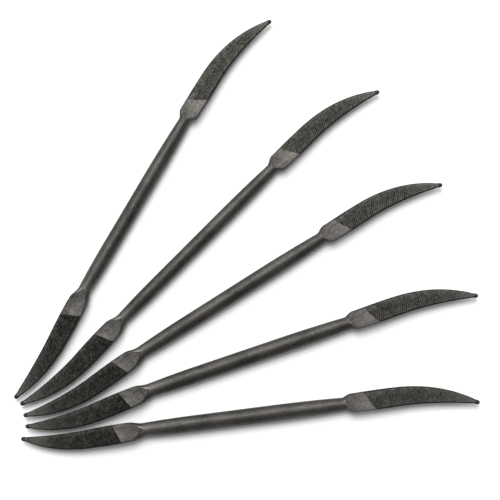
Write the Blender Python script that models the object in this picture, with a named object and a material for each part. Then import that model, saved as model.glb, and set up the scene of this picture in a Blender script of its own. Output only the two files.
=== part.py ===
"""Five double-ended riffler files, fanned out on a flat surface.

Each file is one forged steel bar and is made the way it is worked: a blank with a round
shank, a thinner neck at both ends and a bent, flattened head beyond each neck, which is
then ground flat above and below. The grinding leaves the heel arches and the small nub at
each tip. The head at the left end is leaf-shaped, and the one at the right end is a sabre.
"""

import math
from collections import namedtuple

import bmesh
import bpy
from mathutils import Matrix, Vector

# Sizes that all five files share, in metres
HEAD_WIDTH = 0.0075
NUB_DIAMETER = 0.0016
FACE_STEP = 0.00012
FACE_TIP_THICKNESS = 0.0013
GRINDING_ALLOWANCE = 0.0007
GRINDING_REACH = 0.006

# The shoulders begin nearer to the neck on each head's left edge, seen from the shank: by how
# much for each unit across, and how far the skew reaches out along the head and into the shank
SHOULDER_SKEW = 0.2
SKEW_LENGTH = 0.007
SKEW_SHANK_LENGTH = 0.004

# The leaf head's end of the bar: how much thinner its neck is than the shank's middle, the
# run over which the shank swells, the distances from the neck at which the head has its
# width, its height and its boxy section, and the head's straight run
LEAF_NECK_DROP = 0.00088
LEAF_SWELL_LENGTH = 0.0175
LEAF_SHOULDER_LENGTH = 0.0058
LEAF_CROWN_LENGTH = 0.0079
LEAF_CORNER_LENGTH = 0.0105
LEAF_STRAIGHT_LENGTH = 0.022

# The sabre head's end of the bar, in the same order
SABRE_NECK_DROP = 0.00115
SABRE_SWELL_LENGTH = 0.027
SABRE_SHOULDER_LENGTH = 0.0030
SABRE_CROWN_LENGTH = 0.0032
SABRE_CORNER_LENGTH = 0.0040
SABRE_STRAIGHT_LENGTH = 0.020

# The first file, the steepest one at the top of the fan: the middle of its shank on the
# surface, its turn from +X, its shank from neck to neck, and its two heads along their
# centrelines, each with the lean of its straight run and the radius of its bend
FIRST_X = -0.0448
FIRST_Y = 0.0180
FIRST_TURN_DEGREES = 60.5
FIRST_SHANK_LENGTH = 0.0767
FIRST_SHANK_DIAMETER = 0.00565
FIRST_LEAF_LENGTH = 0.0498
FIRST_LEAF_LEAN_DEGREES = 2.6
FIRST_LEAF_BEND_RADIUS = 0.0955
FIRST_SABRE_LENGTH = 0.0542
FIRST_SABRE_LEAN_DEGREES = -1.2
FIRST_SABRE_BEND_RADIUS = 0.0680

# The second file
SECOND_X = -0.0202
SECOND_Y = 0.0026
SECOND_TURN_DEGREES = 45.7
SECOND_SHANK_LENGTH = 0.0823
SECOND_SHANK_DIAMETER = 0.0055
SECOND_LEAF_LENGTH = 0.0512
SECOND_LEAF_LEAN_DEGREES = 1.7
SECOND_LEAF_BEND_RADIUS = 0.0701
SECOND_SABRE_LENGTH = 0.0533
SECOND_SABRE_LEAN_DEGREES = -0.9
SECOND_SABRE_BEND_RADIUS = 0.0700

# The third file, the middle one of the fan
THIRD_X = -0.0069
THIRD_Y = -0.0178
THIRD_TURN_DEGREES = 32.7
THIRD_SHANK_LENGTH = 0.0817
THIRD_SHANK_DIAMETER = 0.00585
THIRD_LEAF_LENGTH = 0.0515
THIRD_LEAF_LEAN_DEGREES = 2.8
THIRD_LEAF_BEND_RADIUS = 0.0685
THIRD_SABRE_LENGTH = 0.0526
THIRD_SABRE_LEAN_DEGREES = -0.2
THIRD_SABRE_BEND_RADIUS = 0.0675

# The fourth file
FOURTH_X = -0.0003
FOURTH_Y = -0.0416
FOURTH_TURN_DEGREES = 18.8
FOURTH_SHANK_LENGTH = 0.0792
FOURTH_SHANK_DIAMETER = 0.0061
FOURTH_LEAF_LENGTH = 0.0498
FOURTH_LEAF_LEAN_DEGREES = 3.5
FOURTH_LEAF_BEND_RADIUS = 0.0728
FOURTH_SABRE_LENGTH = 0.0520
FOURTH_SABRE_LEAN_DEGREES = 0.4
FOURTH_SABRE_BEND_RADIUS = 0.0760

# The fifth file, the flattest one at the bottom of the fan
FIFTH_X = -0.0022
FIFTH_Y = -0.0646
FIFTH_TURN_DEGREES = 7.3
FIFTH_SHANK_LENGTH = 0.0761
FIFTH_SHANK_DIAMETER = 0.0062
FIFTH_LEAF_LENGTH = 0.0472
FIFTH_LEAF_LEAN_DEGREES = 2.0
FIFTH_LEAF_BEND_RADIUS = 0.0729
FIFTH_SABRE_LENGTH = 0.0520
FIFTH_SABRE_LEAN_DEGREES = 0.5
FIFTH_SABRE_BEND_RADIUS = 0.0775

# Both heads' outline: (share of the head's length from its tip, share of the head's width)
WIDTH_SHARES = (
    (0.04, 0.23),
    (0.08, 0.34),
    (0.14, 0.47),
    (0.20, 0.59),
    (0.30, 0.745),
    (0.40, 0.855),
    (0.52, 0.94),
    (0.65, 0.99),
    (0.75, 1.0),
    (0.83, 0.985),
    (0.92, 0.955),
)

# How straight each head's flare is, from 0 where it is a smooth S to 1 where it is straight
LEAF_FLARE = 0.0
SABRE_FLARE = 0.5

# The sections run from round to boxy
ROUND_EXPONENT = 2.0
BOXY_EXPONENT = 6.0

# How finely the bar is faceted
RING_POINTS = 20
SHOULDER_STEPS = 6
HEAD_STEPS = 9
NUB_STEPS = 4
SWELL_STEPS = 4

STEEL_COLOUR = (0.055, 0.052, 0.047, 1.0)
STEEL_ROUGHNESS = 0.45
STEEL_METALLIC = 0.85

Pattern = namedtuple("Pattern", "neck_drop swell shoulder flare crown corner straight")
Head = namedtuple("Head", "pattern length lean bend_radius")
File = namedtuple("File", "name x y turn shank_length shank_diameter leaf sabre")
Ring = namedtuple("Ring", "x y heading half_width half_height exponent skew")

LEAF = Pattern(
    LEAF_NECK_DROP,
    LEAF_SWELL_LENGTH,
    LEAF_SHOULDER_LENGTH,
    LEAF_FLARE,
    LEAF_CROWN_LENGTH,
    LEAF_CORNER_LENGTH,
    LEAF_STRAIGHT_LENGTH,
)
SABRE = Pattern(
    SABRE_NECK_DROP,
    SABRE_SWELL_LENGTH,
    SABRE_SHOULDER_LENGTH,
    SABRE_FLARE,
    SABRE_CROWN_LENGTH,
    SABRE_CORNER_LENGTH,
    SABRE_STRAIGHT_LENGTH,
)

FILES = (
    File(
        "riffler_1",
        FIRST_X,
        FIRST_Y,
        FIRST_TURN_DEGREES,
        FIRST_SHANK_LENGTH,
        FIRST_SHANK_DIAMETER,
        Head(LEAF, FIRST_LEAF_LENGTH, FIRST_LEAF_LEAN_DEGREES, FIRST_LEAF_BEND_RADIUS),
        Head(SABRE, FIRST_SABRE_LENGTH, FIRST_SABRE_LEAN_DEGREES, FIRST_SABRE_BEND_RADIUS),
    ),
    File(
        "riffler_2",
        SECOND_X,
        SECOND_Y,
        SECOND_TURN_DEGREES,
        SECOND_SHANK_LENGTH,
        SECOND_SHANK_DIAMETER,
        Head(LEAF, SECOND_LEAF_LENGTH, SECOND_LEAF_LEAN_DEGREES, SECOND_LEAF_BEND_RADIUS),
        Head(SABRE, SECOND_SABRE_LENGTH, SECOND_SABRE_LEAN_DEGREES, SECOND_SABRE_BEND_RADIUS),
    ),
    File(
        "riffler_3",
        THIRD_X,
        THIRD_Y,
        THIRD_TURN_DEGREES,
        THIRD_SHANK_LENGTH,
        THIRD_SHANK_DIAMETER,
        Head(LEAF, THIRD_LEAF_LENGTH, THIRD_LEAF_LEAN_DEGREES, THIRD_LEAF_BEND_RADIUS),
        Head(SABRE, THIRD_SABRE_LENGTH, THIRD_SABRE_LEAN_DEGREES, THIRD_SABRE_BEND_RADIUS),
    ),
    File(
        "riffler_4",
        FOURTH_X,
        FOURTH_Y,
        FOURTH_TURN_DEGREES,
        FOURTH_SHANK_LENGTH,
        FOURTH_SHANK_DIAMETER,
        Head(LEAF, FOURTH_LEAF_LENGTH, FOURTH_LEAF_LEAN_DEGREES, FOURTH_LEAF_BEND_RADIUS),
        Head(SABRE, FOURTH_SABRE_LENGTH, FOURTH_SABRE_LEAN_DEGREES, FOURTH_SABRE_BEND_RADIUS),
    ),
    File(
        "riffler_5",
        FIFTH_X,
        FIFTH_Y,
        FIFTH_TURN_DEGREES,
        FIFTH_SHANK_LENGTH,
        FIFTH_SHANK_DIAMETER,
        Head(LEAF, FIFTH_LEAF_LENGTH, FIFTH_LEAF_LEAN_DEGREES, FIFTH_LEAF_BEND_RADIUS),
        Head(SABRE, FIFTH_SABRE_LENGTH, FIFTH_SABRE_LEAN_DEGREES, FIFTH_SABRE_BEND_RADIUS),
    ),
)


def clear_scene():
    for old in list(bpy.data.objects):
        bpy.data.objects.remove(old, do_unlink=True)


def new_collection(name):
    collection = bpy.data.collections.new(name)
    bpy.context.scene.collection.children.link(collection)
    return collection


def steel(name):
    material = bpy.data.materials.new(name)
    material.use_nodes = True
    shader = material.node_tree.nodes["Principled BSDF"]
    shader.inputs["Base Color"].default_value = STEEL_COLOUR
    shader.inputs["Roughness"].default_value = STEEL_ROUGHNESS
    shader.inputs["Metallic"].default_value = STEEL_METALLIC
    material.diffuse_color = STEEL_COLOUR
    return material


def ease(share):
    """A smooth climb from 0 to 1."""
    share = min(max(share, 0.0), 1.0)
    return share * share * (3.0 - 2.0 * share)


def mix(low, high, share):
    return low + (high - low) * share


def width_share(share):
    """The outline between the points of WIDTH_SHARES, as a smooth curve through them."""
    points = WIDTH_SHARES
    i = 0
    while i < len(points) - 2 and share > points[i + 1][0]:
        i += 1
    before, start, end, after = (points[min(max(j, 0), len(points) - 1)] for j in range(i - 1, i + 3))
    run = end[0] - start[0]
    slope_in = (end[1] - before[1]) / (end[0] - before[0])
    slope_out = (after[1] - start[1]) / (after[0] - start[0])
    t = min(max((share - start[0]) / run, 0.0), 1.0)
    rise = end[1] - start[1]
    bow = (1.0 - t) * ((slope_in * run - rise) * (1.0 - t) - (slope_out * run - rise) * t)
    return start[1] + rise * t + t * bow


def neck_radius(file, head):
    return (file.shank_diameter - head.pattern.neck_drop) / 2.0


def face_height(file, head, along):
    """The ground face's height over the bar's axis, at a distance from the neck."""
    at_neck = neck_radius(file, head) + FACE_STEP
    return mix(at_neck, FACE_TIP_THICKNESS / 2.0, along / head.length)


def centre(head, along):
    """The centreline past the neck: (x, y, heading), with the neck at the origin.

    It leans, runs straight, and then bends to its own right, seen from the shank.
    """
    lean = math.radians(head.lean)
    straight = min(along, head.pattern.straight)
    bent = max(along - head.pattern.straight, 0.0)
    heading = lean - bent / head.bend_radius
    x = straight * math.cos(lean) + head.bend_radius * (math.sin(lean) - math.sin(heading))
    y = straight * math.sin(lean) + head.bend_radius * (math.cos(heading) - math.cos(lean))
    return x, y, heading


def half_outline(head, along):
    """Half the head's width at a distance from the neck, from the heel outwards."""
    return HEAD_WIDTH * width_share(1.0 - along / head.length) / 2.0


def skew(distance, length):
    """How skewed a section is at a distance from the neck, outwards or into the shank."""
    return SHOULDER_SKEW * (1.0 - ease(distance / length))


def head_ring(file, head, along, half_width, allowance):
    """A section of the shoulder or the blade, tall enough to leave its allowance to grind off."""
    crown = face_height(file, head, along) + allowance
    half_height = mix(neck_radius(file, head), crown, ease(along / head.pattern.crown))
    exponent = mix(ROUND_EXPONENT, BOXY_EXPONENT, ease(along / head.pattern.corner))
    slant = skew(along, SKEW_LENGTH)
    return Ring(*centre(head, along), half_width, half_height, exponent, slant)


def shoulder_ring(file, head, share):
    """A section of the shoulder: share is 0 at the neck and 1 at the heel."""
    heel_half_width = half_outline(head, head.pattern.shoulder)
    widening = mix(ease(share), share, head.pattern.flare)
    half_width = mix(neck_radius(file, head), heel_half_width, widening)
    return head_ring(file, head, head.pattern.shoulder * share, half_width, GRINDING_ALLOWANCE)


def blade_ring(file, head, share):
    """A section of the flattened head: share is 0 at the heel and 1 where the nub begins."""
    nub_radius = NUB_DIAMETER / 2.0
    along = mix(head.pattern.shoulder, head.length - nub_radius, share)
    allowance = mix(GRINDING_ALLOWANCE, nub_radius - FACE_TIP_THICKNESS / 2.0, share)
    return head_ring(file, head, along, half_outline(head, along), allowance)


def nub_ring(head, share):
    """A section of the round tip: share is 0 at the nub's middle and 1 at its very end."""
    nub_radius = NUB_DIAMETER / 2.0
    angle = share * math.pi / 2.0
    along = head.length - nub_radius + nub_radius * math.sin(angle)
    radius = nub_radius * math.cos(angle)
    return Ring(*centre(head, along), radius, radius, ROUND_EXPONENT, 0.0)


def head_rings(file, head):
    """The sections from just past the neck out to the tip, with the neck at the origin."""
    rings = [shoulder_ring(file, head, (i + 1) / SHOULDER_STEPS) for i in range(SHOULDER_STEPS)]
    rings += [blade_ring(file, head, (i + 1) / HEAD_STEPS) for i in range(HEAD_STEPS - 1)]
    rings += [nub_ring(head, i / NUB_STEPS) for i in range(NUB_STEPS)]
    return rings


def swell_rings(file, head):
    """The sections of the shank's swell, from the neck inwards, with the neck at the origin."""
    neck = neck_radius(file, head)
    middle = file.shank_diameter / 2.0
    rings = []
    for i in range(SWELL_STEPS + 1):
        share = i / SWELL_STEPS
        inwards = head.pattern.swell * share
        radius = mix(neck, middle, 1.0 - (1.0 - share) ** 2)
        slant = skew(inwards, SKEW_SHANK_LENGTH)
        rings.append(Ring(-inwards, 0.0, 0.0, radius, radius, ROUND_EXPONENT, slant))
    return rings


def turned_end(ring, half_shank, direction):
    """A ring of one end, placed on the whole bar: direction is 1 for the right end, -1 for the left."""
    return ring._replace(x=direction * (half_shank + ring.x), y=direction * ring.y)


def bar_rings(file):
    """Every section of the bar from the leaf's tip to the sabre's, with the shank's middle at 0."""
    half_shank = file.shank_length / 2.0
    leaf = swell_rings(file, file.leaf)[::-1] + head_rings(file, file.leaf)
    sabre = swell_rings(file, file.sabre)[::-1] + head_rings(file, file.sabre)
    left = [turned_end(ring, half_shank, -1) for ring in reversed(leaf)]
    right = [turned_end(ring, half_shank, 1) for ring in sabre]
    return left + right


def ring_points(ring):
    """The points of one section, which runs from round to nearly square with its exponent."""
    points = []
    power = 2.0 / ring.exponent
    across = Vector((-math.sin(ring.heading) - ring.skew, math.cos(ring.heading), 0.0))
    for i in range(RING_POINTS):
        angle = 2.0 * math.pi * i / RING_POINTS
        side = math.copysign(abs(math.cos(angle)) ** power, math.cos(angle)) * ring.half_width
        height = math.copysign(abs(math.sin(angle)) ** power, math.sin(angle)) * ring.half_height
        points.append(Vector((ring.x, ring.y, height)) + across * side)
    return points


def forged_blank(file):
    """The bar before grinding, lofted through its unlike sections and capped at both tips."""
    mesh = bpy.data.meshes.new(file.name)
    shape = bmesh.new()
    loops = [[shape.verts.new(point) for point in ring_points(ring)] for ring in bar_rings(file)]
    for here, there in zip(loops, loops[1:]):
        for i in range(RING_POINTS):
            j = (i + 1) % RING_POINTS
            shape.faces.new((here[i], here[j], there[j], there[i]))
    shape.faces.new(loops[0])
    shape.faces.new(loops[-1])
    bmesh.ops.recalc_face_normals(shape, faces=shape.faces)
    shape.to_mesh(mesh)
    shape.free()
    mesh.shade_smooth()
    return mesh


def wedge(shape, file, head, direction, up):
    """A block whose one face lies on a ground face of a head: up is 1 above it and -1 below."""
    face_end = head.length - NUB_DIAMETER
    reach_x = centre(head, face_end)[0]
    neck_height = face_height(file, head, 0.0)
    drop = neck_height - face_height(file, head, face_end)
    run = math.hypot(reach_x, drop)
    block = Matrix.Diagonal((run, 2.0 * head.length, GRINDING_REACH, 1.0))
    lift = Matrix.Translation((run / 2.0, 0.0, GRINDING_REACH / 2.0))
    tilt = Matrix.Rotation(math.atan2(drop, reach_x), 4, "Y")
    seat = Matrix.Translation((0.0, 0.0, neck_height))
    flip = Matrix.Diagonal((1.0, 1.0, up, 1.0))
    place = Matrix.Translation((direction * file.shank_length / 2.0, 0.0, 0.0))
    turn = Matrix.Rotation(0.0 if direction > 0 else math.pi, 4, "Z")
    bmesh.ops.create_cube(shape, size=1.0, matrix=place @ turn @ flip @ seat @ tilt @ lift @ block)


def grinding_cutter(file, collection):
    """The four blocks that grind a file's two heads flat, above and below."""
    mesh = bpy.data.meshes.new(file.name + "_grinding")
    shape = bmesh.new()
    for head, direction in ((file.leaf, -1), (file.sabre, 1)):
        for up in (1, -1):
            wedge(shape, file, head, direction, up)
    bmesh.ops.recalc_face_normals(shape, faces=shape.faces)
    shape.to_mesh(mesh)
    shape.free()
    cutter = bpy.data.objects.new(file.name + "_grinding", mesh)
    cutter.hide_render = True
    cutter.display_type = "WIRE"
    collection.objects.link(cutter)
    return cutter


def make_file(file, parts, cutters, stand):
    """One riffler, resting on the surface on its shank's belly."""
    riffler = bpy.data.objects.new(file.name, forged_blank(file))
    riffler.data.materials.append(steel(file.name + "_steel"))
    riffler.location = (file.x, file.y, file.shank_diameter / 2.0)
    riffler.rotation_euler = (0.0, 0.0, math.radians(file.turn))
    riffler.parent = stand
    parts.objects.link(riffler)
    cutter = grinding_cutter(file, cutters)
    cutter.parent = riffler
    grinding = riffler.modifiers.new("ground_faces", "BOOLEAN")
    grinding.operation = "DIFFERENCE"
    grinding.solver = "EXACT"
    grinding.object = cutter
    return riffler


def centre_on_origin(stand, rifflers):
    """Moves the fan so that the middle of its outline stands over the origin."""
    bpy.context.view_layer.update()
    points = [o.matrix_world @ v.co for o in rifflers for v in o.data.vertices]
    for axis in (0, 1):
        values = [point[axis] for point in points]
        stand.location[axis] = -(min(values) + max(values)) / 2.0
    bpy.context.view_layer.update()


def main():
    clear_scene()
    parts = new_collection("riffler_files")
    cutters = new_collection("cutters")
    stand = bpy.data.objects.new("fan_middle", None)
    parts.objects.link(stand)
    rifflers = [make_file(file, parts, cutters, stand) for file in FILES]
    centre_on_origin(stand, rifflers)


main()
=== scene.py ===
"""Five double-ended riffler files, fanned out on a white surface.

Each file is one forged steel bar. Its round shank and the flanks beside its necks keep the
dark forged skin, the heel of each head is ground bright, and real teeth are cut all round
each head out to its tip, which ends in a small smooth nub.
"""

import math
from collections import namedtuple

import bmesh
import bpy
import numpy as np
from mathutils import Matrix, Vector


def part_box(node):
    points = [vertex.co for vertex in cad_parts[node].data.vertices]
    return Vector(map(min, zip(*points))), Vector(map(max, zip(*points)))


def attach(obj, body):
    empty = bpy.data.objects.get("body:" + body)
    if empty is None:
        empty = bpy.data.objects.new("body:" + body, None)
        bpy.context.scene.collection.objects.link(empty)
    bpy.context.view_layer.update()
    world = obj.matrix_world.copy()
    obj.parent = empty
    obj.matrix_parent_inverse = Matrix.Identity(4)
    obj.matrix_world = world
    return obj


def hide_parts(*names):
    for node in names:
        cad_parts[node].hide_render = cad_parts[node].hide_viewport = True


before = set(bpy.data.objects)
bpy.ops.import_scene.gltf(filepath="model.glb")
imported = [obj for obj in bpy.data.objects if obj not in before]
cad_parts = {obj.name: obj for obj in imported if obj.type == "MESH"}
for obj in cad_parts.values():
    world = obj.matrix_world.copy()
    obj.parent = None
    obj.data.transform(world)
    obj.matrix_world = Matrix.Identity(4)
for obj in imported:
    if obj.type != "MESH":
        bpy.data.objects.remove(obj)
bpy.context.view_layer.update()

MM = 0.001

# Sizes that all five files share
HEAD_WIDTH = 7.5 * MM
NUB_DIAMETER = 1.6 * MM
FACE_STEP = 0.12 * MM
FACE_TIP_THICKNESS = 1.3 * MM
GRINDING_ALLOWANCE = 0.7 * MM
TIP_BLEND = 5.0 * MM
SHOULDER_SKEW = 0.2
SKEW_LENGTH = 7.0 * MM
SKEW_SHANK_LENGTH = 4.0 * MM
ROUND_EXPONENT = 2.0
BOXY_EXPONENT = 6.0

# Both heads' outline: (share of the head's length from its tip, share of the head's width)
WIDTH_SHARES = (
    (0.04, 0.23),
    (0.08, 0.34),
    (0.14, 0.47),
    (0.20, 0.59),
    (0.30, 0.745),
    (0.40, 0.855),
    (0.52, 0.94),
    (0.65, 0.99),
    (0.75, 1.0),
    (0.83, 0.985),
    (0.92, 0.955),
)

# The ground faces: almost flat, rolled off a little towards their edges and towards the neck
FACE_ROLL = 0.16 * MM
FACE_ROLL_START_SHARE = 0.4
NECK_ROLL = 0.1 * MM
NECK_ROLL_LENGTH = 4.0 * MM
HEEL_EDGE_RADIUS = 0.05 * MM
TOOTHED_EDGE_RADIUS = 0.25 * MM
TOOTHED_EDGE_BLEND = 2.0 * MM
RADII_TO_AN_EDGE = 3.0
EDGE_SHARES = (0.0, 0.12, 0.35, 0.65)

# The teeth: their rows' fronts face the head's tip, and notches cut the flanks
TOOTH_RUN_OUT = 0.25 * MM
TIP_RUN_OUT = 1.0 * MM
TIP_BARE = 1.5 * MM
TOOTH_FRONT_SHARE = 0.3
DEPTH_LIMIT_SHARE = 0.4
ROW_UNEVEN_SHARE = 0.3
ROW_WANDER_SHARE = 0.3
ROW_WANDER_LENGTH = 2.3 * MM
FINE_END_LENGTH = 14.0 * MM
FINE_END_SHARE = 0.55
PLAIN_STRIP_START = 0.2 * MM
PLAIN_STRIP_BLEND = 2.0 * MM
NOTCH_PITCH = 0.66 * MM
NOTCH_DEPTH = 0.06 * MM
NOTCH_LEAN = 0.5
NOTCH_RUN_OUT = 1.0 * MM

# The steps between the seeds of what scatters, and the wave that the scatter is read from
FILE_SEED_STEP = 3.1
SABRE_SEED_STEP = 0.5
ROW_SEED_STEP = 1.7
CELL_STEP = 17.0
SCATTER_STEP = 12.9898
SCATTER_SEED_STEP = 78.233
SCATTER_HEIGHT = 43758.5453

# Tones say how bright the steel is, between dark scale and bright metal. On the worked steel
# the tones below zero blend into painted shade
SCALE_AND_SHADE_TONE = -1.0
WORN_TONE = 1.0
BRIGHT_TONE = 2.0

# How the toothed faces' tone changes: from tooth to tooth, on the plain strip and at its
# start, towards the tip, towards the right edge, and at their worn edges, with a painted shade
# line along them
TONE_SCATTER = 0.14
TONE_PLAIN_GAIN = -0.31
TONE_START_GAIN = 0.15
START_LENGTH = 9.0 * MM
TIP_GAIN_POWER = 1.5
TONE_RIGHT_GAIN = 0.27
RIGHT_STRIP_START = 0.8 * MM
RIGHT_STRIP_BLEND = 2.6 * MM
TONE_TOOTHED_WEAR = 0.2
TOOTHED_WEAR_WIDTH = 1.3 * MM
SHADE_LINE_WIDTH = 0.38 * MM

# How the heels' tone changes: darker towards the neck as painted shade, with a painted shade
# line along the left edge and a lighter right edge, and painted highlights on the lip before
# the teeth and in the gleam along the middle
TONE_HEEL_GAIN = 0.35
TONE_HEEL_LEFT_SHADE = -0.5
TONE_HEEL_RIGHT_WEAR = 0.1
HEEL_EDGE_WIDTH = 0.45 * MM
TONE_LIP_HIGHLIGHT = 0.15
HEEL_LIP_WIDTH = 0.4 * MM
GLEAM_WIDTH = 0.8 * MM
GLEAM_LENGTH = 4.0 * MM

# The tone of the nubs, the worn skin on both sides of a neck, the painted highlight beside
# the arch where a ground face begins, and where the scale sets in, in shares of the shoulder's
# length
TONE_NUB = -0.3
NECK_WEAR_LENGTH = 9.0 * MM
NECK_WEAR_FADE = 2.5 * MM
ARCH_HIGHLIGHT_WIDTH = 1.0 * MM
SCALE_START_SHARE = 0.3
SCALE_END_SHARE = 1.5

# How finely the bar is modelled
SIDE_POINTS = 12
FACE_POINTS = 50
SHOULDER_STEP = 0.12 * MM
HEEL_STEP = 0.3 * MM
TOOTH_STEP = 0.14 * MM
TOOTH_LEAD = 0.2 * MM
NUB_STEPS = 6
NUB_TOP_SHARE = 0.75
SWELL_STEPS = 14
MIDDLE_STEPS = 8
SHARP_ANGLE_DEGREES = 32.0
WELD_DISTANCE = 0.001 * MM

# What a point keeps for the materials to read, after its offset and its height in its ring.
# NO_TEETH is its cut_distance where nothing is cut, and FILE_SHIFT moves a file's marks
POINT_VALUES = ("cut_distance", "crest", "tone", "worked")
TONE_COLUMN = 2 + POINT_VALUES.index("tone")
WORKED_COLUMN = 2 + POINT_VALUES.index("worked")
NO_TEETH = -1.0
FILE_SHIFT = 0.31

Row = namedtuple("Row", "angle pitch depth")
Pattern = namedtuple(
    "Pattern",
    "neck_drop swell shoulder flare crown corner straight slant plain_strip rows"
    " neck_wear arch_wear arch_wear_length heel_tone heel_side_gain heel_gleam"
    " tone tip_gain wear_widening",
)
Head = namedtuple("Head", "pattern length lean bend_radius heel grain_share")
File = namedtuple("File", "name turn shank_length shank_diameter leaf sabre")
Section = namedtuple("Section", "along x y heading half_width half_height exponent skew ground")
Marks = namedtuple(
    "Marks",
    "waves shares detail turn low high",
    defaults=((1.0, 1.0, 1.0), 3.0, 0.0, 0.3, 0.7),
)
Finish = namedtuple("Finish", "metallic tint roughness bump bump_distance")
Lamp = namedtuple("Lamp", "off_zenith left_of_back spread energy")

# The two kinds of head. The shank thins by neck_drop over the swell before each neck. Past
# the neck a head widens over the shoulder, the straighter the more flare, has its full height
# from the crown and its boxy section from the corner, and runs straight before it bends.
# A head's heel is where its teeth begin on the centreline. They begin nearer to the neck on
# the left edge: slant is by how much for each unit across. Its plain_strip is how much
# shallower they are on the left. The rest are tones. The painted highlight on the flank beside
# the arch has a left and a right one, and is gone at twice its length
# The leaf's tones are set darker than the sabre's: partly painted shade, as the leaf's faces and
# teeth turn away from the lamps, and partly a real difference between the heads
LEAF = Pattern(
    neck_drop=0.88 * MM,
    swell=17.5 * MM,
    shoulder=5.8 * MM,
    flare=0.0,
    crown=7.9 * MM,
    corner=10.5 * MM,
    straight=22.0 * MM,
    slant=0.38,
    plain_strip=0.0,
    rows=(Row(111.0, 0.66 * MM, 0.15 * MM), Row(52.0, 0.72 * MM, 0.15 * MM)),
    neck_wear=0.24,
    arch_wear=(0.15, 0.6),
    arch_wear_length=2.9 * MM,
    heel_tone=0.36,
    heel_side_gain=0.24,
    heel_gleam=0.32,
    tone=0.2,
    tip_gain=0.42,
    wear_widening=0.9,
)
SABRE = Pattern(
    neck_drop=1.15 * MM,
    swell=27.0 * MM,
    shoulder=3.0 * MM,
    flare=0.5,
    crown=3.2 * MM,
    corner=4.0 * MM,
    straight=20.0 * MM,
    slant=0.55,
    plain_strip=0.85,
    rows=(Row(116.6, 0.58 * MM, 0.08 * MM), Row(66.0, 0.8 * MM, 0.11 * MM)),
    neck_wear=0.1,
    arch_wear=(0.45, 0.3),
    arch_wear_length=1.0 * MM,
    heel_tone=0.53,
    heel_side_gain=-0.22,
    heel_gleam=0.0,
    tone=0.5,
    tip_gain=0.13,
    wear_widening=0.0,
)

FILES = (
    File(
        "riffler_1", 60.5, 76.7 * MM, 5.65 * MM,
        Head(LEAF, 49.8 * MM, 2.6, 95.5 * MM, 11.9 * MM, 1.0),
        Head(SABRE, 54.2 * MM, -1.2, 68.0 * MM, 9.0 * MM, 0.9),
    ),
    File(
        "riffler_2", 45.7, 82.3 * MM, 5.5 * MM,
        Head(LEAF, 51.2 * MM, 1.7, 70.1 * MM, 10.6 * MM, 1.0),
        Head(SABRE, 53.3 * MM, -0.9, 70.0 * MM, 9.0 * MM, 0.9),
    ),
    File(
        "riffler_3", 32.7, 81.7 * MM, 5.85 * MM,
        Head(LEAF, 51.5 * MM, 2.8, 68.5 * MM, 10.4 * MM, 1.0),
        Head(SABRE, 52.6 * MM, -0.2, 67.5 * MM, 9.1 * MM, 1.0),
    ),
    File(
        "riffler_4", 18.8, 79.2 * MM, 6.1 * MM,
        Head(LEAF, 49.8 * MM, 3.5, 72.8 * MM, 10.6 * MM, 1.05),
        Head(SABRE, 52.0 * MM, 0.4, 76.0 * MM, 9.2 * MM, 0.95),
    ),
    File(
        "riffler_5", 7.3, 76.1 * MM, 6.2 * MM,
        Head(LEAF, 47.2 * MM, 2.0, 72.9 * MM, 10.6 * MM, 1.0),
        Head(SABRE, 52.0 * MM, 0.5, 77.5 * MM, 9.4 * MM, 0.8),
    ),
)

# The marks on the steel: noises of so many waves to the metre, with the share of them along
# each of the bar's axes, and the noise's values at which a mark begins and is complete
NOISE_ROUGHNESS = 0.55
FORGED_CLOUDS = Marks(95.0, detail=2.0)
FORGED_MOTTLE = Marks(1500.0, shares=(0.6, 1.0, 1.0))
FORGED_LINES = Marks(2800.0, shares=(0.1, 1.0, 1.0), detail=2.0, high=0.72)
FORGED_GRAIN = Marks(5200.0, detail=2.0)
WORKED_STREAKS = Marks(1900.0, shares=(0.05, 1.0, 0.2), turn=5.0, high=0.72)
WORKED_BLOTS = Marks(1200.0, detail=4.0, low=0.32, high=0.68)
WORKED_CLOUDS = Marks(380.0, detail=2.0)
WORKED_TINTS = Marks(210.0, detail=2.0, low=0.35, high=0.65)

# How much each kind of mark counts: clouds, mottle and lines on the forged skin; streaks,
# blots and clouds on a heel; blots and clouds on the teeth
FORGED_WEIGHTS = (0.34, 0.36, 0.3)
HEEL_WEIGHTS = (0.28, 0.12, 0.22)
TOOTH_WEIGHTS = (0.18, 0.18)

# The steels' colours, and the tones, crest shares and cut distances over which they blend
SCALE_COLOUR = (0.020, 0.019, 0.018, 1.0)
FORGED_DARK = (0.021, 0.020, 0.018, 1.0)
FORGED_LIGHT = (0.092, 0.087, 0.078, 1.0)
FORGED_BRIGHT = (0.28, 0.268, 0.245, 1.0)
HEEL_DARK = (0.034, 0.0325, 0.030, 1.0)
HEEL_LIGHT = (0.159, 0.150, 0.137, 1.0)
TOOTH_DARK = (0.004, 0.004, 0.0035, 1.0)
CREST_LIGHT = (0.146, 0.144, 0.129, 1.0)
VALLEY_LIGHT = (0.016, 0.016, 0.014, 1.0)
GREEN_TINT = (0.99, 1.0, 0.97, 1.0)
RED_TINT = (1.03, 0.995, 0.99, 1.0)
# Painted shade over dark steel: the colour of the line along toothed edges and of the toothed
# walls, and the tones over which it sets in
PAINTED_SHADE_COLOUR = (0.018, 0.018, 0.017, 1.0)
PAINTED_SHADE_TONES = (-0.9, 0.0)
CREST_START = 0.1
CUT_BLEND = 0.02 * MM

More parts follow.
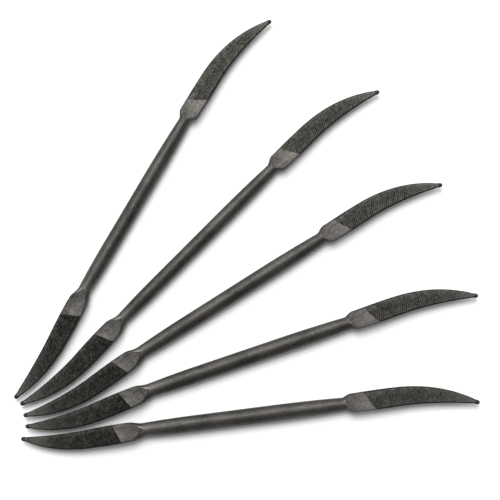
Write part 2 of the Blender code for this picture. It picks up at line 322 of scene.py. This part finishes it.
# The steels' finishes: a roughness goes from its first value to its second over the marks
FORGED_FINISH = Finish(
    metallic=0.72,
    tint=(0.88, 0.88, 0.88, 1.0),
    roughness=(0.45, 0.56),
    bump=0.25,
    bump_distance=0.02 * MM,
)
WORKED_FINISH = Finish(
    metallic=0.95,
    tint=(0.9, 0.9, 0.9, 1.0),
    roughness=(0.67, 0.56),
    bump=0.3,
    bump_distance=0.01 * MM,
)

# The camera looks down at the fan from the side where the viewer stands
CAMERA_LENS_MM = 100.0
CAMERA_SENSOR_MM = 36.0
CAMERA_ELEVATION_DEGREES = 80.0
CAMERA_TARGET = Vector((0.962 * MM, -7.816 * MM, 0.0))
CAMERA_DISTANCE = 540.56 * MM
CAMERA_CLIP_START = 0.01
CAMERA_CLIP_END = 50.0

# The light: two soft lamps, a high one that throws the shadows and a wider one lower at the
# back, placed by their angles from the zenith and to the left of the back, and a pale room
# that is brighter at the back and overhead
HIGH_LAMP = Lamp(off_zenith=22.0, left_of_back=12.0, spread=32.0, energy=2.05)
BACK_LAMP = Lamp(off_zenith=53.0, left_of_back=22.0, spread=48.0, energy=1.25)
ROOM_LEFT_OF_BACK_DEGREES = 12.0
ROOM_FRONT_LEVEL = 0.21
ROOM_BACK_LEVEL = 0.62
ROOM_TOP_GAIN = 0.2
ROOM_TOP_START = 0.75
ROOM_TINT = (0.985, 0.985, 1.0, 1.0)
FLOOR_SIZE = 12.0
FLOOR_COLOUR = (0.97, 0.97, 0.97, 1.0)


def ease(share):
    """A smooth climb from 0 to 1."""
    share = np.clip(share, 0.0, 1.0)
    return share * share * (3.0 - 2.0 * share)


def mix(low, high, share):
    return low + (high - low) * share


def scatter(numbers, seed):
    """A repeatable scatter between 0 and 1 for whole numbers."""
    wave = np.sin(numbers * SCATTER_STEP + seed * SCATTER_SEED_STEP) * SCATTER_HEIGHT
    return wave - np.floor(wave)


def width_share(share):
    """The outline between the points of WIDTH_SHARES, as a smooth curve through them."""
    last = len(WIDTH_SHARES) - 1
    i = 0
    while i < last - 1 and share > WIDTH_SHARES[i + 1][0]:
        i += 1
    before, after = WIDTH_SHARES[max(i - 1, 0)], WIDTH_SHARES[min(i + 2, last)]
    start, end = WIDTH_SHARES[i], WIDTH_SHARES[i + 1]
    run = end[0] - start[0]
    slope_in = (end[1] - before[1]) / (end[0] - before[0])
    slope_out = (after[1] - start[1]) / (after[0] - start[0])
    done = min(max((share - start[0]) / run, 0.0), 1.0)
    left = 1.0 - done
    rise = end[1] - start[1]
    bow = left * ((slope_in * run - rise) * left - (slope_out * run - rise) * done)
    return start[1] + rise * done + done * bow


def neck_radius(file, head):
    return (file.shank_diameter - head.pattern.neck_drop) / 2.0


def face_height(file, head, along):
    """The ground face's height over the bar's axis, at a distance from the neck."""
    at_neck = neck_radius(file, head) + FACE_STEP
    return mix(at_neck, FACE_TIP_THICKNESS / 2.0, along / head.length)


def centre(head, along):
    """The centreline past the neck: (x, y, heading), with the neck at the origin."""
    lean = math.radians(head.lean)
    straight = min(along, head.pattern.straight)
    bent = max(along - head.pattern.straight, 0.0)
    heading = lean - bent / head.bend_radius
    x = straight * math.cos(lean) + head.bend_radius * (math.sin(lean) - math.sin(heading))
    y = straight * math.sin(lean) + head.bend_radius * (math.cos(heading) - math.cos(lean))
    return x, y, heading


def half_outline(head, along):
    """Half the head's width at a distance from the neck, from the shoulder outwards."""
    return HEAD_WIDTH * width_share(1.0 - along / head.length) / 2.0


def skew(distance, length):
    """How skewed a section is at a distance from the neck, outwards or into the shank.

    The shoulders begin nearer to the neck on each head's left edge.
    """
    return SHOULDER_SKEW * (1.0 - ease(distance / length))


def section(file, head, along):
    """The bar's section past the neck, before its faces are ground flat."""
    shoulder = head.pattern.shoulder
    nub_radius = NUB_DIAMETER / 2.0
    nub_start = head.length - nub_radius
    neck = neck_radius(file, head)
    if along > nub_start:
        radius = math.sqrt(max(nub_radius**2 - (along - nub_start) ** 2, 0.0))
        return Section(along, *centre(head, along), radius, radius, ROUND_EXPONENT, 0.0, False)
    if along < shoulder:
        widening = mix(ease(along / shoulder), along / shoulder, head.pattern.flare)
        half_width = mix(neck, half_outline(head, shoulder), widening)
    else:
        half_width = half_outline(head, along)
    outer_share = max(along - shoulder, 0.0) / (nub_start - shoulder)
    allowance = mix(GRINDING_ALLOWANCE, nub_radius - FACE_TIP_THICKNESS / 2.0, outer_share)
    crown = face_height(file, head, along) + allowance
    half_height = mix(neck, crown, ease(along / head.pattern.crown))
    tip_share = max(along - head.length + TIP_BLEND, 0.0) / (TIP_BLEND - nub_radius)
    exponent = mix(ROUND_EXPONENT, BOXY_EXPONENT, ease(along / head.pattern.corner))
    exponent = mix(exponent, ROUND_EXPONENT, tip_share)
    ground = along <= head.length - NUB_DIAMETER
    slant = skew(along, SKEW_LENGTH)
    return Section(along, *centre(head, along), half_width, half_height, exponent, slant, ground)


def ground_height(file, head, part, offset):
    """The ground face's height where a section crosses it, at an offset from the centreline."""
    face_end = head.length - NUB_DIAMETER
    at_neck = face_height(file, head, 0.0)
    slope = (at_neck - face_height(file, head, face_end)) / centre(head, face_end)[0]
    roll = NECK_ROLL * (1.0 - ease(part.along / NECK_ROLL_LENGTH))
    return at_neck - roll - slope * (part.x - offset * (math.sin(part.heading) + part.skew))


def saw(turns):
    """A tooth row's depth share, 0 on each whole turn's crest: steep fronts and long backs."""
    share = turns - np.floor(turns)
    front = share / TOOTH_FRONT_SHARE
    back = (1.0 - share) / (1.0 - TOOTH_FRONT_SHARE)
    return np.minimum(front, back)


def row_turns(row, grain, along, offset, seed):
    """Which row, and how far through it, each place on a face is."""
    angle = math.radians(row.angle)
    over = along * math.sin(angle) - offset * math.cos(angle)
    beside = along * math.cos(angle) + offset * math.sin(angle)
    wander = np.sin(over / ROW_WANDER_LENGTH + seed)
    wander = wander + np.sin(beside / ROW_WANDER_LENGTH + 2.0 * seed)
    return over / (row.pitch * grain) + ROW_WANDER_SHARE * wander


def cut_distance(head, along, offset):
    """How far past the start of the teeth a place on a head is."""
    return along - head.heel + head.pattern.slant * offset


def crossing_rows(head, along, offset, seed):
    """(depth, cell) of the crossing rows at full depth: cell is a number for each tooth."""
    depths = []
    cell = 0.0
    for i, row in enumerate(head.pattern.rows):
        turns = row_turns(row, head.grain_share, along, offset, seed + ROW_SEED_STEP * i)
        number = np.floor(turns)
        uneven = 1.0 - ROW_UNEVEN_SHARE * scatter(number, seed + i)
        depths.append(row.depth * head.grain_share * saw(turns) * uneven)
        cell = cell + number * (1.0 + CELL_STEP * i)
    return np.maximum(*depths), cell


def toothed_tone(head, along, offset, plain):
    """The tone of the teeth's crests, before it scatters from tooth to tooth."""
    out_share = max(along - head.heel, 0.0) / (head.length - head.heel)
    near_start = 1.0 - ease(cut_distance(head, along, offset) / START_LENGTH)
    tone = head.pattern.tone + head.pattern.tip_gain * out_share**TIP_GAIN_POWER
    tone = tone + (TONE_PLAIN_GAIN + TONE_START_GAIN * near_start) * plain
    return tone + TONE_RIGHT_GAIN * ease((-offset - RIGHT_STRIP_START) / RIGHT_STRIP_BLEND)


def heel_tone(head, along, offset):
    """The tone of the ground heel, with painted shade and highlights: its gain along the heel is
    half below and half above.
    """
    cut = cut_distance(head, along, offset)
    # Painted highlight: the gleam along the middle, brightest where the teeth begin
    gleam = np.exp(-((offset / GLEAM_WIDTH) ** 2)) * ease(1.0 + cut / GLEAM_LENGTH)
    # Painted shade: darker towards the neck and lighter outwards
    tone = head.pattern.heel_tone + TONE_HEEL_GAIN * (ease(along / head.heel) - 0.5)
    tone = tone + head.pattern.heel_side_gain * offset / (HEAD_WIDTH / 2.0)
    # Painted highlight on the lip just before the teeth
    tone = tone + TONE_LIP_HIGHLIGHT * ease(1.0 + cut / HEEL_LIP_WIDTH)
    return tone + head.pattern.heel_gleam * gleam


def teeth(head, along, offset, seed):
    """(depth, crest share, tone) of the teeth at places on a ground face."""
    to_tip = head.length - TIP_BARE - along
    cut = cut_distance(head, along, offset)
    plain = head.pattern.plain_strip * ease((offset - PLAIN_STRIP_START) / PLAIN_STRIP_BLEND)
    fade = ease(cut / TOOTH_RUN_OUT) * ease(to_tip / TIP_RUN_OUT)
    fine = mix(FINE_END_SHARE, 1.0, ease(to_tip / FINE_END_LENGTH))
    full_depth, cell = crossing_rows(head, along, offset, seed)
    depth = full_depth * fine * (1.0 - plain) * fade
    deepest = max(row.depth for row in head.pattern.rows) * head.grain_share
    uneven = TONE_SCATTER * (2.0 * scatter(cell, seed) - 1.0) * (1.0 - plain)
    toothed = toothed_tone(head, along, offset, plain) + uneven
    tone = np.where(cut > 0.0, toothed, heel_tone(head, along, offset))
    return depth, 1.0 - depth / deepest, tone


def flank_tone(head, part, offsets, heights, side):
    """A flank's tone: worn at the neck, a painted highlight at the arch, scale farther out,
    painted shade where toothed.
    """
    if head is None:
        return WORN_TONE
    past = part.along / head.pattern.shoulder - SCALE_START_SHARE
    tone = mix(WORN_TONE, SCALE_AND_SHADE_TONE, ease(past / (SCALE_END_SHARE - SCALE_START_SHARE)))
    to_arch = np.hypot(offsets - offsets[-1], np.abs(heights) - heights[-1])
    # Painted highlight on the flank beside the arch, stronger on the side that faces the lamps
    near_neck = ease(2.0 - part.along / head.pattern.arch_wear_length)
    wear_shade_and_sheen = head.pattern.arch_wear[0 if side > 0.0 else 1] * near_neck * part.ground
    return tone + wear_shade_and_sheen * (1.0 - ease(to_arch / ARCH_HIGHLIGHT_WIDTH))


def flank(head, part, join, side):
    """A flank's points from its lower join to its upper one; side is 1 left and -1 right."""
    reach = math.asin(min(join / part.half_height, 1.0) ** (part.exponent / 2.0))
    angles = np.linspace(-reach, reach, SIDE_POINTS)
    power = 2.0 / part.exponent
    offsets = part.half_width * np.abs(np.cos(angles)) ** power
    heights = part.half_height * np.sign(angles) * np.abs(np.sin(angles)) ** power
    cut = NO_TEETH
    notches = np.zeros(SIDE_POINTS)
    if part.ground:
        cut = cut_distance(head, part.along, side * part.half_width)
        to_tip = head.length - TIP_BARE - part.along
        fade = ease(cut / NOTCH_RUN_OUT) * ease(to_tip / NOTCH_RUN_OUT)
        notches = saw((part.along + NOTCH_LEAN * heights) / NOTCH_PITCH) * fade
    ones = np.ones(SIDE_POINTS)
    tone = flank_tone(head, part, offsets, heights, side) * ones
    worked = float(cut > 0.0) * ones
    shape = (side * (offsets - NOTCH_DEPTH * notches), heights)
    return np.stack([*shape, cut * ones, 1.0 - notches, tone, worked], axis=1)


def face_edge(part, height):
    """How far from the centreline the flank meets a height."""
    share = min(height / part.half_height, 1.0)
    return part.half_width * (1.0 - share**part.exponent) ** (1.0 / part.exponent)


def face_offsets(edges, radius):
    """Places across a face, from its left edge to its right one, close together at both."""
    shares = np.array(EDGE_SHARES)
    left = edges[0] - radius * shares
    between = np.linspace(edges[0] - radius, radius - edges[1], FACE_POINTS - 2 * len(shares))
    return np.concatenate([left, between, radius * shares[::-1] - edges[1]])


def edge_tone(head, part, offsets, inside, toothed, tone):
    """A ground face's tone at its edges: worn and lined with painted shade where toothed, with
    painted shade on the heel's left edge.
    """
    widening = 1.0 + head.pattern.wear_widening * part.along / head.length
    wear_shade_and_sheen = 1.0 - ease(inside / mix(HEEL_EDGE_WIDTH, TOOTHED_WEAR_WIDTH * widening, toothed))
    # Painted shade along the heel's left edge, and its right edge a little brighter
    heel_shade_and_wear = np.where(offsets > 0.0, TONE_HEEL_LEFT_SHADE, TONE_HEEL_RIGHT_WEAR)
    tone = tone + wear_shade_and_sheen * mix(heel_shade_and_wear, TONE_TOOTHED_WEAR, toothed)
    # Painted shade: a dark line along the toothed edges
    return mix(tone, SCALE_AND_SHADE_TONE, toothed * (1.0 - ease(inside / SHADE_LINE_WIDTH)))


def ground_face(file, head, part, seed):
    """(points, joins) of a ground face: joins are the heights where its flanks meet it."""
    edges = [
        face_edge(part, ground_height(file, head, part, side * part.half_width))
        for side in (1.0, -1.0)
    ]
    toothed = ease(cut_distance(head, part.along, -part.half_width) / TOOTHED_EDGE_BLEND)
    tip_share = ease((part.along - head.length + TIP_BLEND) / TIP_BLEND)
    radius = mix(HEEL_EDGE_RADIUS, TOOTHED_EDGE_RADIUS, toothed * (1.0 - tip_share))
    radius = max(min(radius, min(edges) / RADII_TO_AN_EDGE), WELD_DISTANCE)
    roll_gain = FACE_ROLL * part.half_width / (HEAD_WIDTH / 2.0)
    roll_gain = roll_gain / (1.0 - FACE_ROLL_START_SHARE) ** 2

    def rolled(offset):
        out = np.maximum(np.abs(offset) / part.half_width - FACE_ROLL_START_SHARE, 0.0)
        return ground_height(file, head, part, offset) - roll_gain * out**2

    offsets = face_offsets(edges, radius)
    inside = np.minimum(edges[0] - offsets, offsets + edges[1])
    to_edge = np.clip(inside / radius, 0.0, 1.0)
    rounding = radius * (1.0 - np.sqrt(1.0 - (1.0 - to_edge) ** 2))
    depth, crest, tone = teeth(head, part.along, offsets, seed)
    tone = edge_tone(head, part, offsets, inside, toothed, tone)
    heights = rolled(offsets) - rounding
    heights = heights - np.minimum(depth, DEPTH_LIMIT_SHARE * heights) * to_edge
    cut = cut_distance(head, part.along, offsets)
    joins = [rolled(edges[0]) - radius, rolled(-edges[1]) - radius]
    return np.stack([offsets, heights, cut, crest, tone, np.ones(len(cut))], axis=1), joins


def plain_face(part, share, tone):
    """(points, joins) of the upper side where nothing is ground, over a share of its width."""
    shares = np.linspace(share, -share, FACE_POINTS)
    heights = part.half_height * (1.0 - np.abs(shares) ** part.exponent) ** (1.0 / part.exponent)
    ones = np.ones(FACE_POINTS)
    values = (NO_TEETH * ones, ones, tone * ones, 0.0 * ones)
    points = np.stack([shares * part.half_width, heights, *values], axis=1)
    return points, [heights[0]] * 2


def ring(file, head, part, seed):
    """The points of a section, all the way round, with its faces ground and toothed.

    Each row is (offset to the left, height, and the four POINT_VALUES).
    """
    if part.ground and part.half_height > ground_height(file, head, part, 0.0):
        upper, joins = ground_face(file, head, part, seed)
    elif head and not part.ground:
        upper, joins = plain_face(part, NUB_TOP_SHARE, TONE_NUB)
    else:
        upper, joins = plain_face(part, 0.0, WORN_TONE)
    left = flank(head, part, joins[0], 1.0)
    right = flank(head, part, joins[1], -1.0)
    lower = upper[::-1].copy()
    lower[:, 1] *= -1.0
    return np.concatenate([left, upper, right[::-1], lower])


def wear_neck(points, head, share):
    """Brightens what isn't ground of a ring near a neck, by a share of the neck's wear."""
    forged = 1.0 - points[:, WORKED_COLUMN]
    points[:, TONE_COLUMN] += head.pattern.neck_wear * share * forged


def spaced(start, end, step):
    """Evenly spaced distances from start up to, but not at, end."""
    count = max(int(math.ceil((end - start) / step)), 1)
    return [mix(start, end, i / count) for i in range(count)]


def stations(head):
    """The distances from the neck at which a head has a section."""
    arch_end = head.pattern.crown
    cut_begin = head.heel - head.pattern.slant * HEAD_WIDTH / 2.0 - TOOTH_LEAD
    nub_radius = NUB_DIAMETER / 2.0
    nub_start = head.length - nub_radius
    nub_angles = [math.pi / 2.0 * i / NUB_STEPS for i in range(NUB_STEPS)]
    places = spaced(0.0, min(arch_end, cut_begin), SHOULDER_STEP)[1:]
    places += spaced(min(arch_end, cut_begin), cut_begin, HEEL_STEP)
    places += spaced(cut_begin, nub_start, TOOTH_STEP)
    places += [nub_start + nub_radius * math.sin(angle) for angle in nub_angles]
    return places


def head_rings(file, head, direction, seed):
    """A head's sections as points on the whole bar, from the neck outwards."""
    rings = []
    for along in stations(head):
        part = section(file, head, along)
        points = ring(file, head, part, seed)
        wear_neck(points, head, 1.0 - ease(along / NECK_WEAR_FADE))
        x = file.shank_length / 2.0 + part.x - points[:, 0] * (math.sin(part.heading) + part.skew)
        y = part.y + points[:, 0] * math.cos(part.heading)
        rings.append(np.column_stack([direction * x, direction * y, points[:, 1:]]))
    return rings


def shank_places(file):
    """(x, radius) of the shank's sections, from the leaf's neck to the sabre's."""
    half = file.shank_length / 2.0
    middle = file.shank_diameter / 2.0
    places = []
    for head, direction in ((file.leaf, -1.0), (file.sabre, 1.0)):
        for share in np.linspace(0.0, 1.0, SWELL_STEPS + 1):
            radius = mix(neck_radius(file, head), middle, 1.0 - (1.0 - share) ** 2)
            places.append((direction * (half - head.pattern.swell * share), radius))
    start = file.leaf.pattern.swell - half
    end = half - file.sabre.pattern.swell
    places += [(x, middle) for x in np.linspace(start, end, MIDDLE_STEPS + 1)[1:-1]]
    return sorted(places)


def shank_rings(file):
    """The shank's sections as points on the whole bar, in the order of their places."""
    half = file.shank_length / 2.0
    rings = []
    for x, radius in shank_places(file):
        slant = skew(half - abs(x), SKEW_SHANK_LENGTH)
        part = Section(0.0, x, 0.0, 0.0, radius, radius, ROUND_EXPONENT, slant, False)
        points = ring(file, None, part, 0.0)
        nearest = file.leaf if x < 0.0 else file.sabre
        wear_neck(points, nearest, 1.0 - ease((half - abs(x)) / NECK_WEAR_LENGTH))
        rings.append(np.column_stack([x - slant * points[:, 0], points]))
    return rings


def turned_ring(points):
    """A ring of the leaf's end with its points in the order that the sabre's end has."""
    half = SIDE_POINTS + FACE_POINTS
    left, upper = points[:SIDE_POINTS], points[SIDE_POINTS:half]
    right, lower = points[half:half + SIDE_POINTS], points[half + SIDE_POINTS:]
    return np.concatenate([right[::-1], upper[::-1], left[::-1], lower[::-1]])


def keep_values(mesh, places, values):
    """Keeps what the materials read on the mesh's points."""
    layer = mesh.attributes.new("bar_place", "FLOAT_VECTOR", "POINT")
    layer.data.foreach_set("vector", places.ravel())
    for name, column in zip(POINT_VALUES, values.T):
        layer = mesh.attributes.new(name, "FLOAT", "POINT")
        layer.data.foreach_set("value", column.copy())


def bar_mesh(file, seed):
    """The whole file as one closed mesh, with what its materials read kept on its points.

    bar_place is each point's place on the bar, with the bar along X, and differs from file to
    file by a shift, so that no two files carry the same marks.
    """
    leaf = [turned_ring(points) for points in head_rings(file, file.leaf, -1.0, seed)]
    sabre = head_rings(file, file.sabre, 1.0, seed + SABRE_SEED_STEP)
    rings = leaf[::-1] + shank_rings(file) + sabre
    count = len(rings[0])
    points = np.concatenate(rings)
    places, values = points[:, :3], points[:, 3:]
    near = np.arange(len(points) - count).reshape(-1, count)
    beside = np.roll(near, -1, axis=1)
    quads = np.stack([near, beside, beside + count, near + count], axis=2).reshape(-1, 4)
    ends = [list(range(count)), list(range(len(points) - count, len(points)))]
    turn = np.array(Matrix.Rotation(math.radians(file.turn), 3, "Z"))
    mesh = bpy.data.meshes.new(file.name + "_bar")
    mesh.from_pydata((places @ turn.T).tolist(), [], quads.tolist() + ends)
    keep_values(mesh, places + np.array([seed * FILE_SHIFT, 0.0, 0.0]), values)
    worked = values[:, POINT_VALUES.index("worked")][quads].min(axis=1) > 0.5
    mesh.polygons.foreach_set("material_index", worked.tolist() + [False, False])
    mesh.polygons.foreach_set("use_smooth", [True] * len(mesh.polygons))
    weld(mesh)
    mesh.set_sharp_from_angle(angle=math.radians(SHARP_ANGLE_DEGREES))
    return mesh


def weld(mesh):
    """Joins the points that lie on one another and turns the faces outwards."""
    shape = bmesh.new()
    shape.from_mesh(mesh)
    bmesh.ops.remove_doubles(shape, verts=shape.verts, dist=WELD_DISTANCE)
    bmesh.ops.recalc_face_normals(shape, faces=shape.faces)
    shape.to_mesh(mesh)
    shape.free()


def node(tree, kind, **settings):
    made = tree.nodes.new(kind)
    for name, value in settings.items():
        setattr(made, name, value)
    return made


def plug(tree, socket, value):
    """Links a socket to another one, or sets its value."""
    if isinstance(value, bpy.types.NodeSocket):
        tree.links.new(value, socket)
    else:
        socket.default_value = value


def noise(tree, marks):
    """The noise that marks are made of, over the bar's own coordinates."""
    place = node(tree, "ShaderNodeAttribute", attribute_name="bar_place")
    mapping = node(tree, "ShaderNodeMapping", vector_type="TEXTURE")
    mapping.inputs["Rotation"].default_value = (0.0, 0.0, math.radians(marks.turn))
    mapping.inputs["Scale"].default_value = [1.0 / (marks.waves * share) for share in marks.shares]
    tree.links.new(place.outputs["Vector"], mapping.inputs["Vector"])
    texture = node(tree, "ShaderNodeTexNoise")
    texture.inputs["Scale"].default_value = 1.0
    texture.inputs["Detail"].default_value = marks.detail
    texture.inputs["Roughness"].default_value = NOISE_ROUGHNESS
    tree.links.new(mapping.outputs["Vector"], texture.inputs["Vector"])
    return texture.outputs["Fac"]


def spread(tree, value, low, high, to_low=0.0, to_high=1.0):
    """Maps a value smoothly from one range to another and stops at its ends."""
    made = node(tree, "ShaderNodeMapRange", interpolation_type="SMOOTHSTEP")
    ranges = {"From Min": low, "From Max": high, "To Min": to_low, "To Max": to_high}
    for name, number in ranges.items():
        made.inputs[name].default_value = number
    plug(tree, made.inputs["Value"], value)
    return made.outputs["Result"]


def strength(tree, marks):
    """How strong marks are at each place, from 0 to 1."""
    return spread(tree, noise(tree, marks), marks.low, marks.high)


def blend(tree, share, low, high, kind="MIX"):
    """A colour between two others."""
    made = node(tree, "ShaderNodeMix", data_type="RGBA", blend_type=kind)
    plug(tree, made.inputs[0], share)
    plug(tree, made.inputs[6], low)
    plug(tree, made.inputs[7], high)
    return made.outputs[2]


def blend_value(tree, share, low, high):
    """A number between two others."""
    made = node(tree, "ShaderNodeMix", data_type="FLOAT")
    plug(tree, made.inputs[0], share)
    plug(tree, made.inputs[2], low)
    plug(tree, made.inputs[3], high)
    return made.outputs[0]


def total(tree, *parts):
    """The sum of values, each given with its weight."""
    so_far = 0.0
    for value, weight in parts:
        made = node(tree, "ShaderNodeMath", operation="MULTIPLY_ADD")
        for socket, term in zip(made.inputs, (value, weight, so_far)):
            plug(tree, socket, term)
        so_far = made.outputs[0]
    return so_far


def marked(tree, tone, strengths, weights):
    """A tone with marks that darken it as much as they brighten it."""
    return total(tree, (tone, 1.0), *zip(strengths, weights), (-sum(weights) / 2.0, 1.0))


def attribute(tree, name):
    return node(tree, "ShaderNodeAttribute", attribute_name=name).outputs["Fac"]


def new_material(name):
    material = bpy.data.materials.new(name)
    material.use_nodes = True
    tree = material.node_tree
    return material, tree, tree.nodes["Principled BSDF"]


def set_finish(tree, shader, finish, colour, roughness, height):
    """Gives a steel its finish, with a colour, a roughness and a height for its bumps."""
    bump = node(tree, "ShaderNodeBump")
    bump.inputs["Strength"].default_value = finish.bump
    bump.inputs["Distance"].default_value = finish.bump_distance
    plug(tree, bump.inputs["Height"], height)
    plug(tree, shader.inputs["Normal"], bump.outputs["Normal"])
    plug(tree, shader.inputs["Base Color"], colour)
    plug(tree, shader.inputs["Roughness"], roughness)
    shader.inputs["Metallic"].default_value = finish.metallic
    shader.inputs["Specular Tint"].default_value = finish.tint


def forged_steel():
    """The dark skin of the shank and the flanks: mottled, finely grained, a little worn."""
    material, tree, shader = new_material("forged_steel")
    tone = attribute(tree, "tone")
    strengths = [strength(tree, marks) for marks in (FORGED_CLOUDS, FORGED_MOTTLE, FORGED_LINES)]
    light = total(tree, *zip(strengths, FORGED_WEIGHTS))
    colour = blend(tree, light, FORGED_DARK, FORGED_LIGHT)
    colour = blend(tree, spread(tree, tone, SCALE_AND_SHADE_TONE, WORN_TONE), SCALE_COLOUR, colour)
    colour = blend(tree, spread(tree, tone, WORN_TONE, BRIGHT_TONE), colour, FORGED_BRIGHT)
    grain = noise(tree, FORGED_GRAIN)
    roughness = spread(tree, grain, FORGED_GRAIN.low, FORGED_GRAIN.high, *FORGED_FINISH.roughness)
    set_finish(tree, shader, FORGED_FINISH, colour, roughness, grain)
    return material


def worked_steel():
    """The worked surfaces: brushed bright at the heel, dark between the crests of the teeth."""
    material, tree, shader = new_material("worked_steel")
    tone = attribute(tree, "tone")
    streaks = strength(tree, WORKED_STREAKS)
    blots = strength(tree, WORKED_BLOTS)
    clouds = strength(tree, WORKED_CLOUDS)
    polish = marked(tree, tone, (streaks, blots, clouds), HEEL_WEIGHTS)
    heel = blend(tree, polish, HEEL_DARK, HEEL_LIGHT)
    light = marked(tree, tone, (blots, clouds), TOOTH_WEIGHTS)
    crests = blend(tree, light, TOOTH_DARK, CREST_LIGHT)
    valleys = blend(tree, blots, TOOTH_DARK, VALLEY_LIGHT)
    tooth = blend(tree, spread(tree, attribute(tree, "crest"), CREST_START, 1.0), valleys, crests)
    tint = blend(tree, strength(tree, WORKED_TINTS), GREEN_TINT, RED_TINT)
    tooth = blend(tree, 1.0, tooth, tint, "MULTIPLY")
    toothed = spread(tree, attribute(tree, "cut_distance"), -CUT_BLEND, CUT_BLEND)
    colour = blend(tree, toothed, heel, tooth)
    # Painted shade: the line along the toothed edges, the toothed walls and the heel's left edge
    colour = blend(tree, spread(tree, tone, *PAINTED_SHADE_TONES), PAINTED_SHADE_COLOUR, colour)
    roughness = spread(tree, blots, 0.0, 1.0, *WORKED_FINISH.roughness)
    set_finish(tree, shader, WORKED_FINISH, colour, roughness, streaks)
    return material


def make_file(file, seed, materials):
    """Puts one riffler where its node is."""
    mesh = bar_mesh(file, seed)
    for material in materials:
        mesh.materials.append(material)
    bar = bpy.data.objects.new(file.name + "_bar", mesh)
    bpy.context.scene.collection.objects.link(bar)
    points = np.array([vert.co[:] for vert in mesh.vertices])
    middle = (points.min(axis=0) + points.max(axis=0)) / 2.0
    low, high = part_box(file.name)
    bar.location = (
        (low[0] + high[0]) / 2.0 - middle[0],
        (low[1] + high[1]) / 2.0 - middle[1],
        file.shank_diameter / 2.0,
    )
    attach(bar, "root")
    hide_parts(file.name)


def make_camera():
    elevation = math.radians(CAMERA_ELEVATION_DEGREES)
    back = Vector((0.0, -math.cos(elevation), math.sin(elevation)))
    data = bpy.data.cameras.new("camera")
    data.lens = CAMERA_LENS_MM
    data.sensor_width = CAMERA_SENSOR_MM
    data.clip_start = CAMERA_CLIP_START
    data.clip_end = CAMERA_CLIP_END
    camera = bpy.data.objects.new("camera", data)
    camera.location = CAMERA_TARGET + CAMERA_DISTANCE * back
    camera.rotation_mode = "QUATERNION"
    camera.rotation_quaternion = (-back).to_track_quat("-Z", "Y")
    bpy.context.scene.collection.objects.link(camera)
    bpy.context.scene.camera = camera


def make_lamp(name, lamp):
    data = bpy.data.lights.new(name, "SUN")
    data.energy = lamp.energy
    data.angle = math.radians(lamp.spread)
    made = bpy.data.objects.new(name, data)
    off = math.radians(lamp.off_zenith)
    left = math.radians(lamp.left_of_back)
    beside, behind = math.sin(left) * math.sin(off), math.cos(left) * math.sin(off)
    towards = Vector((-beside, behind, math.cos(off)))
    made.rotation_mode = "QUATERNION"
    made.rotation_quaternion = towards.to_track_quat("Z", "Y")
    bpy.context.scene.collection.objects.link(made)


def make_room():
    """A pale room, brighter at the back and overhead, and white to look at."""
    world = bpy.data.worlds.new("room")
    world.use_nodes = True
    tree = world.node_tree
    background = tree.nodes["Background"]
    direction = node(tree, "ShaderNodeTexCoord").outputs["Generated"]
    parts = node(tree, "ShaderNodeSeparateXYZ")
    tree.links.new(direction, parts.inputs[0])
    left = math.radians(ROOM_LEFT_OF_BACK_DEGREES)
    facing = node(tree, "ShaderNodeVectorMath", operation="DOT_PRODUCT")
    tree.links.new(direction, facing.inputs[0])
    facing.inputs[1].default_value = (-math.sin(left), math.cos(left), 0.0)
    level = spread(tree, facing.outputs["Value"], -1.0, 1.0, ROOM_FRONT_LEVEL, ROOM_BACK_LEVEL)
    top = spread(tree, parts.outputs["Z"], ROOM_TOP_START, 1.0)
    level = total(tree, (level, 1.0), (top, ROOM_TOP_GAIN))
    seen = node(tree, "ShaderNodeLightPath").outputs["Is Camera Ray"]
    plug(tree, background.inputs["Strength"], blend_value(tree, seen, level, 1.0))
    background.inputs["Color"].default_value = ROOM_TINT
    world.cycles.sampling_method = "NONE"
    bpy.context.scene.world = world


def make_floor():
    bpy.ops.mesh.primitive_plane_add(size=FLOOR_SIZE)
    floor = bpy.context.object
    floor.name = "floor"
    material, _, shader = new_material("white_surface")
    shader.inputs["Base Color"].default_value = FLOOR_COLOUR
    shader.inputs["Roughness"].default_value = 1.0
    shader.inputs["Specular IOR Level"].default_value = 0.0
    floor.data.materials.append(material)


make_camera()
make_lamp("high_lamp", HIGH_LAMP)
make_lamp("back_lamp", BACK_LAMP)
make_room()
make_floor()
steels = (forged_steel(), worked_steel())
for number, file in enumerate(FILES):
    make_file(file, FILE_SEED_STEP * number, steels)

bpy.context.scene.view_settings.view_transform = "Standard"
bpy.context.view_layer.update()
